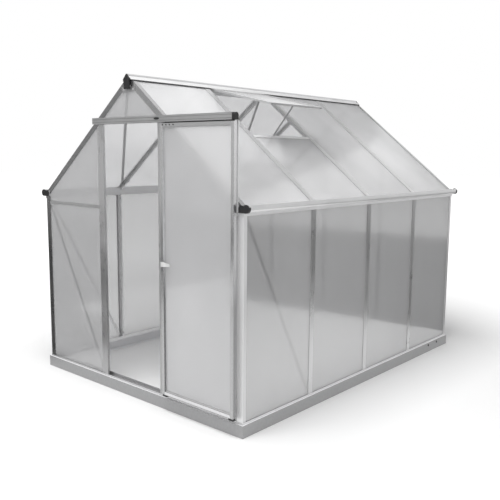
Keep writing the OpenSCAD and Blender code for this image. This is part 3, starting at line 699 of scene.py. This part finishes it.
class GREENHOUSE_OT_mouldings(bpy.types.Operator):
    """Finish the black caps, rollers and guides and the pale handle"""
    bl_idname = "greenhouse.mouldings"
    bl_label = "Mouldings"

    def execute(self, context):
        colours = context.scene.greenhouse_colours
        dress(["gutter_end_caps", "ridge_end_caps", "header_end_cap", "door_hangers", "door_guides"],
              moulded_plastic("black_moulding", colours.plastic, roughness=0.5))
        dress(["door_handle"], moulded_plastic("pale_moulding", colours.handle, roughness=0.4))
        return {"FINISHED"}


class GREENHOUSE_OT_brace_bolts(bpy.types.Operator):
    """Bolts at the ends of the flat braces"""
    bl_idname = "greenhouse.brace_bolts"
    bl_label = "Brace bolts"

    def execute(self, context):
        sizes = context.scene.greenhouse_sizes
        end = sizes.brace_end
        low, high = corners("side_wall_braces")
        face = high[0] - sizes.brace_sheet
        spots = [(side * face, y, z) for side in (-1, 1)
                 for y, z in ((low[1] + end, high[2] - end), (high[1] - end, low[2] + end))]
        outs = [(-np.sign(spot[0]), 0, 0) for spot in spots]
        low, high = corners("front_wall_braces")
        spots += [(low[0] + end, high[1], high[2] - end), (high[0] - end, high[1], low[2] + end)]
        outs += [(0, 1, 0)] * 2
        material = extruded_metal("bolts", context.scene.greenhouse_colours.bar, FASTENER, roughness=0.3)
        add_piece("brace_bolts", bolt(sizes.nut, spots, outs), material, STRUCTURE)
        return {"FINISHED"}


class GREENHOUSE_OT_frame_bolts(bpy.types.Operator):
    """Bolts on the inner feet of the studs and rafters and on the gusset plates"""
    bl_idname = "greenhouse.frame_bolts"
    bl_label = "Frame bolts"

    def execute(self, context):
        sizes = context.scene.greenhouse_sizes
        low, high = corners("right_wall_studs")
        inner = sizes.half_width - sizes.bar_depth
        rows = [low[1] + BAR_HALF, 0.0, high[1] - BAR_HALF]
        levels = [low[2] + STUD_BOLT_INSET, high[2] - STUD_BOLT_INSET]
        side, y, z = np.meshgrid([-1, 1], rows, levels, indexing="ij")
        walls = np.stack([side * inner, y, z], -1).reshape(-1, 3)
        slope = roof_slope(sizes)
        apex = apex_height()
        side, y, down = np.meshgrid([-1, 1], rows, RAFTER_BOLTS, indexing="ij")
        reach = down * math.cos(slope) - sizes.bar_depth * math.sin(slope)
        drop = down * math.sin(slope) + sizes.bar_depth * math.cos(slope)
        roof = np.stack([side * reach, y, apex - drop], -1).reshape(-1, 3)
        inward = np.stack([-np.sign(walls[:, 0]), 0 * walls[:, 0], 0 * walls[:, 0]], -1)
        under = np.stack([-np.sign(roof[:, 0]) * math.sin(slope), 0 * roof[:, 0],
                          np.full(len(roof), -math.cos(slope))], -1)
        material = bpy.data.materials["bolts"]
        spots, outs = np.concatenate([walls, roof]), np.concatenate([inward, under])
        add_piece("frame_bolts", bolt(sizes.nut, spots, outs), material, STRUCTURE)
        low, high = corners("gable_gussets")
        level = (low[2] + high[2]) / 2
        spots = [(x, y, level) for y in (low[1], high[1]) for x in (-GUSSET_BOLT_OFFSET, GUSSET_BOLT_OFFSET)]
        outs = [(0, np.sign(spot[1]), 0) for spot in spots]
        add_piece("gusset_bolts", dome(sizes.nut, spots, outs), material, STRUCTURE)
        return {"FINISHED"}


class GREENHOUSE_OT_header_fittings(bpy.types.Operator):
    """Oval plug on the track rail, a black strip of painted shadow behind the open door and screws on the
    door's top rail
    """
    bl_idname = "greenhouse.header_fittings"
    bl_label = "Header fittings"

    def execute(self, context):
        sizes = context.scene.greenhouse_sizes
        black = bpy.data.materials["black_moulding"]
        low = corners("door_header_rail")[0]
        plug_at = (PLUG_X, low[1], low[2] + PLUG_RISE)
        oval = dome(PLUG_RADIUS, [plug_at], [(0, -1, 0)], PLUG_STRETCH)
        add_piece("header_plug", oval, black, STRUCTURE)
        # Painted shadow: a black strip behind the gap over the door, where shade falls under the rail
        door_low, door_high = corners("door_rails")
        back, foot = door_high[1] + HEADER_SHADE_BEHIND, low[2] - HEADER_SHADE_DROP
        path = [[(door_low[0], back, foot), (door_high[0], back, foot)]]
        section = [(0, 0, 0), (0, HEADER_SHADE_SHEET, 0), (0, HEADER_SHADE_SHEET, HEADER_SHADE_HEIGHT), (0, 0, HEADER_SHADE_HEIGHT)]
        add_piece("header_shade_strip", [strip(path, section)], black, STRUCTURE)
        level = door_high[2] - HANGER_SCREW_DROP
        spots = [(x, door_low[1], level) for x in np.linspace(*HANGER_SCREW_SPAN, HANGER_SCREW_COUNT)]
        heads = dome(sizes.head, spots, [(0, -1, 0)] * HANGER_SCREW_COUNT)
        add_piece("hanger_screws", heads, black, DOOR)
        return {"FINISHED"}


class GREENHOUSE_OT_base_screws(bpy.types.Operator):
    """Dark screws through the sides of the base channel"""
    bl_idname = "greenhouse.base_screws"
    bl_label = "Base screws"

    def execute(self, context):
        low, high = corners("base_sides")
        spots = [(x, y, BASE_SCREW_LEVEL) for x in (low[0], high[0]) for y in BASE_SCREW_ROWS]
        outs = [(np.sign(spot[0]), 0, 0) for spot in spots]
        black = bpy.data.materials["black_moulding"]
        add_piece("base_screws", dome(BASE_SCREW_RADIUS, spots, outs), black, STRUCTURE)
        return {"FINISHED"}


class GREENHOUSE_OT_ridge_shadow_strips(bpy.types.Operator):
    """Dark strips of painted shadow along the lower edges of the ridge wings, left out along the vent"""
    bl_idname = "greenhouse.ridge_seals"
    bl_label = "Ridge seals"

    def execute(self, context):
        slope = roof_slope(context.scene.greenhouse_sizes)
        apex = apex_height()
        low, high = corners("ridge_bar")
        vent_low, vent_high = corners("vent_frame")
        runs = [(-1, low[1], high[1]), (1, low[1], vent_low[1] - RIDGE_SHADE_END_GAP),
                (1, vent_high[1] + RIDGE_SHADE_END_GAP, high[1])]
        # Painted shadow: black strips where the shade under the ridge wings falls
        solids = []
        for side, start, end in runs:
            down = np.array([side * math.cos(slope), 0, -math.sin(slope)])
            out = np.array([side * math.sin(slope), 0, math.cos(slope)])
            corner = np.array([0, 0, apex]) + RIDGE_SHADE_START * down + RIDGE_SHADE_LIFT * out
            section = np.array([corner, corner + RIDGE_SHADE_WIDTH * down,
                                corner + RIDGE_SHADE_TOP_WIDTH * down + RIDGE_SHADE_SHEET * out,
                                corner + RIDGE_SHADE_SHEET * out])[::side]
            solids.append(strip([[(0, start, 0), (0, end, 0)]], section))
        black = bpy.data.materials["black_moulding"]
        add_piece("ridge_seals", solids, black, STRUCTURE)
        return {"FINISHED"}


# Cards that show in reflections: two directions, the stretch along each, grey, and the start in metres
FRONT_START = (-3.3, -4.95, 0.0)
BACK_START = (0.0, 8.0, 0.0)
FLOOR_START = (0.0, 0.0, 0.002)
X_WAY, Y_WAY, UP_WAY = (1.0, 0.0, 0.0), (0.0, 1.0, 0.0), (0.0, 0.0, 1.0)
FRONT_WAY = (-0.75, 0.66, 0.0)
CARDS = (
    {"name": "card_right", "first": (0.12, 0.993, 0.0), "spread": (1.67, 8.0),
     "second": (0.993, -0.12, 0.0), "reach": (0.8, 14.0), "grey": 0.02, "start": FLOOR_START},
    {"name": "card_front", "first": FRONT_WAY, "spread": (-6.0, 6.0),
     "second": UP_WAY, "reach": (0.0, 0.6), "grey": 0.05, "start": FRONT_START},
    {"name": "card_high", "first": FRONT_WAY, "spread": (-6.0, 6.0),
     "second": UP_WAY, "reach": (0.6, 4.0), "grey": 0.55, "start": FRONT_START},
    {"name": "card_left", "first": X_WAY, "spread": (-10.0, -2.3),
     "second": Y_WAY, "reach": (-10.0, 0.5), "grey": 0.05, "start": FLOOR_START},
    {"name": "card_corner", "first": X_WAY, "spread": (-2.3, -1.0),
     "second": Y_WAY, "reach": (-2.3, -1.3), "grey": 0.05, "start": FLOOR_START},
    {"name": "card_back", "first": X_WAY, "spread": (-4.5, -1.45),
     "second": (0.133, 0.0, 1.0), "reach": (5.6, 9.4), "grey": 0.1, "start": BACK_START},
)
CARD_DARK = 0.9
CARD_LIGHT = 1.1

# Floor in metres, its shades, and its glow: where it starts, its rise, for the camera and for reflections
FLOOR_HALF = 40.0
FLOOR_DROP = 0.001
FLOOR_DARK = 0.995
FLOOR_LIGHT = 1.005
GLOW_START = 1.8
GLOW_RISE = 0.3
GLOW_SEEN = 0.7
GLOW_MIRRORED = 0.36

# Light: strength of the world on the object, and the lamp in metres and watts
WORLD_LIGHT = 0.5
LAMP_PLACE = (0.5, -2.5, 7.0)
LAMP_AIM = (0.0, 0.0, 0.8)
LAMP_SIZE = 4.0
LAMP_POWER = 420.0


class GREENHOUSE_OT_stage(bpy.types.Operator):
    """Floor, light, reflection cards and camera"""
    bl_idname = "greenhouse.stage"
    bl_label = "Stage"

    def execute(self, context):
        scene = context.scene
        scene.view_settings.view_transform = "Standard"
        make_floor(scene.greenhouse_colours.floor)
        make_world(scene)
        make_lights()
        for card in CARDS:
            make_card(**card)
        make_camera(scene)
        return {"FINISHED"}


def make_floor(colour):
    """Flat square under the object, grid of two parameters."""
    edges = (-FLOOR_HALF, FLOOR_HALF)
    u, v = np.meshgrid(edges, edges)
    points = np.stack([u, v, np.zeros_like(u)], -1).reshape(-1, 3)
    mesh = bpy.data.meshes.new("floor")
    mesh.from_pydata(points.tolist(), [], [(0, 1, 3, 2)])
    floor = bpy.data.objects.new("floor", mesh)
    bpy.context.scene.collection.objects.link(floor)
    floor.location.z = -FLOOR_DROP
    finish = Finish("floor_paper", roughness=0.9, specular_ior_level=0.0)
    cloud = finish.noise(finish.place(), scale=0.6, detail=2.0)
    finish.feed(**{"Base Color": finish.mix(cloud, shade(colour, FLOOR_DARK), shade(colour, FLOOR_LIGHT))})
    path = finish.node("ShaderNodeLightPath")
    seen = finish.wire(path.outputs["Is Camera Ray"])
    shine = finish.wire(path.outputs["Is Glossy Ray"])
    flat = finish.node("ShaderNodeVectorMath", {"operation": "LENGTH"}, {0: finish.place()})
    far = ((finish.wire(flat.outputs["Value"]) - GLOW_START) * GLOW_RISE).clamped()
    strength = seen * far * GLOW_SEEN + shine * GLOW_MIRRORED
    glow = finish.node("ShaderNodeEmission", None, {"Strength": strength})
    finish.show(finish.node("ShaderNodeAddShader", None, {0: finish.shader.outputs[0], 1: glow.outputs[0]}))
    mesh.materials.append(finish.material)


def make_world(scene):
    """White background for the camera, reflections and rays through sheets, softer light for the rest."""
    world = bpy.data.worlds.new("studio")
    scene.world = world
    world.use_nodes = True
    nodes = Nodes(world.node_tree)
    path = nodes.node("ShaderNodeLightPath")
    seen = nodes.wire(path.outputs["Is Camera Ray"])
    shine = nodes.wire(path.outputs["Is Glossy Ray"])
    through = nodes.wire(path.outputs["Is Transmission Ray"])
    show = (seen + shine + through).at_most(1.0)
    strength = show * (1 - WORLD_LIGHT) + WORLD_LIGHT
    light = nodes.node("ShaderNodeBackground", None, {"Color": (1, 1, 1, 1), "Strength": strength})
    nodes.node("ShaderNodeOutputWorld", None, {"Surface": light.outputs[0]})


def make_lights():
    """One wide lamp overhead."""
    place, aim = Vector(LAMP_PLACE), Vector(LAMP_AIM)
    lamp = bpy.data.lights.new("lamp_above", "AREA")
    lamp.size = LAMP_SIZE
    lamp.energy = LAMP_POWER
    obj = bpy.data.objects.new("lamp_above", lamp)
    bpy.context.scene.collection.objects.link(obj)
    obj.visible_glossy = False
    obj.location = place
    obj.rotation_euler = (aim - place).to_track_quat("-Z", "Y").to_euler()


def make_card(name, first, spread, second, reach, grey, start):
    """Grey card for reflections, hidden from the camera: a grid along two directions from a start."""
    u, v = np.meshgrid(spread, reach)
    points = u[..., None] * np.array(first) + v[..., None] * np.array(second) + np.array(start)
    mesh = bpy.data.meshes.new(name)
    mesh.from_pydata(points.reshape(-1, 3).tolist(), [], [(0, 1, 3, 2)])
    card = bpy.data.objects.new(name, mesh)
    bpy.context.scene.collection.objects.link(card)
    card.visible_camera = False
    card.visible_shadow = False
    card.visible_diffuse = False
    finish = Finish(name, roughness=1.0, specular_ior_level=0.0)
    cloud = finish.noise(finish.place(), scale=0.5, detail=2.0)
    colour = (grey,) * 3
    finish.feed(**{"Base Color": finish.mix(cloud, shade(colour, CARD_DARK), shade(colour, CARD_LIGHT))})
    mesh.materials.append(finish.material)


# Camera: place and reach in metres, lens and sensor in millimetres, angles in degrees
CAMERA_PLACE = (3.135, -3.706, 1.503)
CAMERA_YAW = 41.23
CAMERA_PITCH = 8.35
CAMERA_ROLL = 0.50
CAMERA_LENS = 47.63
CAMERA_SENSOR = 36.0
CAMERA_REACH = 200.0


def make_camera(scene):
    """Camera at the viewing angle of the photograph."""
    yaw, pitch, roll = (math.radians(a) for a in (CAMERA_YAW, CAMERA_PITCH, CAMERA_ROLL))
    ahead = Vector((-math.sin(yaw) * math.cos(pitch), math.cos(yaw) * math.cos(pitch), -math.sin(pitch)))
    right = Vector((math.cos(yaw), math.sin(yaw), 0.0))
    up = right.cross(ahead)
    right, up = (math.cos(roll) * right + math.sin(roll) * up,
                 -math.sin(roll) * right + math.cos(roll) * up)
    turn = Matrix((right, up, -ahead)).transposed()
    data = bpy.data.cameras.new("camera")
    data.sensor_width = CAMERA_SENSOR
    data.lens = CAMERA_LENS
    data.clip_end = CAMERA_REACH
    camera = bpy.data.objects.new("camera", data)
    scene.collection.objects.link(camera)
    camera.matrix_world = Matrix.Translation(Vector(CAMERA_PLACE)) @ turn.to_4x4()
    scene.camera = camera


class GREENHOUSE_PT_panel(bpy.types.Panel):
    """Sidebar list of the dressing steps"""
    bl_idname = "GREENHOUSE_PT_panel"
    bl_label = "Greenhouse"
    bl_space_type = "VIEW_3D"
    bl_region_type = "UI"
    bl_category = "Greenhouse"

    def draw(self, context):
        for group in (context.scene.greenhouse_colours, context.scene.greenhouse_sizes):
            for key in group.__annotations__:
                self.layout.prop(group, key)
        for step in STEPS:
            self.layout.operator(step.bl_idname)


STEPS = (GREENHOUSE_OT_base, GREENHOUSE_OT_bars, GREENHOUSE_OT_sheets, GREENHOUSE_OT_mouldings,
         GREENHOUSE_OT_brace_bolts, GREENHOUSE_OT_frame_bolts, GREENHOUSE_OT_header_fittings,
         GREENHOUSE_OT_base_screws, GREENHOUSE_OT_ridge_shadow_strips, GREENHOUSE_OT_stage)
CLASSES = (GreenhouseColours, GreenhouseSizes, *STEPS, GREENHOUSE_PT_panel)


def register():
    for item in CLASSES:
        bpy.utils.register_class(item)
    bpy.types.Scene.greenhouse_colours = bpy.props.PointerProperty(type=GreenhouseColours)
    bpy.types.Scene.greenhouse_sizes = bpy.props.PointerProperty(type=GreenhouseSizes)


def unregister():
    del bpy.types.Scene.greenhouse_sizes
    del bpy.types.Scene.greenhouse_colours
    for item in reversed(CLASSES):
        bpy.utils.unregister_class(item)


def main():
    register()
    for step in STEPS:
        group, name = step.bl_idname.split(".")
        getattr(getattr(bpy.ops, group), name)()


if __name__ == "__main__":
    main()
